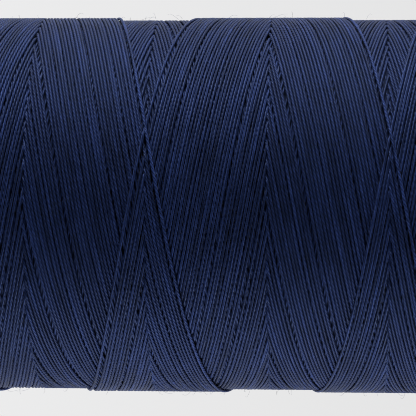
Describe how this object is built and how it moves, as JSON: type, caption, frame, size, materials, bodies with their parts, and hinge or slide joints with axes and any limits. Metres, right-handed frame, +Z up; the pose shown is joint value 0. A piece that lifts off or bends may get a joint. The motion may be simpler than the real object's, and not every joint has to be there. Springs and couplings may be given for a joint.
{
  "type": "spool of sewing thread",
  "caption": "Cross-wound sewing thread on a moulded plastic core tube, with a pull-out base that traps the thread's end.",
  "frame": {"origin": "centre of the snap base's underside, which the spool stands on", "axes": "+Z up along the spool's axis, from the base to the cap; +X towards the thread notch in the base's rim"},
  "size_m": [0.04, 0.04, 0.066],
  "materials": {
    "navy_thread": "mercerised cotton, twisted from several plies, soft sheen",
    "core_plastic": "moulded off-white plastic, satin",
    "label_paper": "coated paper with a plain colour ring"
  },
  "bodies": {
    "base": {"snap_base": "core_plastic", "base_label": "label_paper"},
    "spool": {"core_tube": "core_plastic", "thread_winding": "navy_thread", "top_cap": "core_plastic", "top_label": "label_paper"}
  },
  "joints": [
    {"name": "base_pull", "type": "slide", "parent": "base", "child": "spool", "axis": [0, 0, 1], "range_m": [0, 0.003]}
  ]
}
